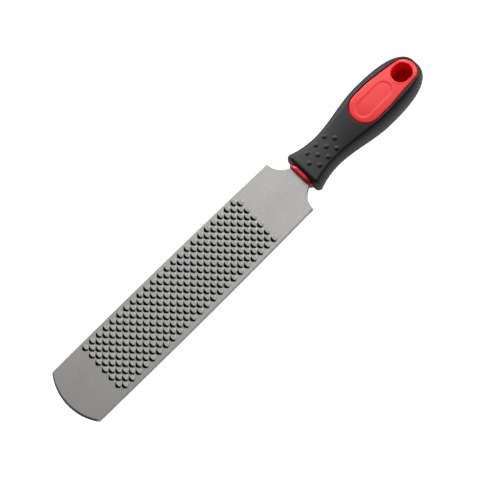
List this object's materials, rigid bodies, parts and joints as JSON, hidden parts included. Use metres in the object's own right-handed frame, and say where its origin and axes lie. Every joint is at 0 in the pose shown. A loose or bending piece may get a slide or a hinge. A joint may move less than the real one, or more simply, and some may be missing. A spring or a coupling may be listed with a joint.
{
  "type": "wood rasp",
  "caption": "Flat wide rasp with a rounded tip, punched teeth on one face, and a red and black moulded handle with a hanging hole.",
  "frame": {"origin": "on the blade's flat back face, on its centre line, level with the two heel corners where the blade's length is measured from", "axes": "+X along the blade to its tip, +Z out of the toothed face, +Y to the left seen from the handle; the handle points to -X"},
  "size_m": [0.3162, 0.045, 0.025],
  "materials": {
    "hardened_steel": "satin ground steel, fine grinding marks along the blade",
    "red_plastic": "glossy moulded polypropylene",
    "black_rubber": "matte soft-touch overmould, very fine texture"
  },
  "bodies": {
    "root": {"blade": "hardened_steel", "handle_core": "red_plastic", "grip": "black_rubber"}
  },
  "joints": []
}
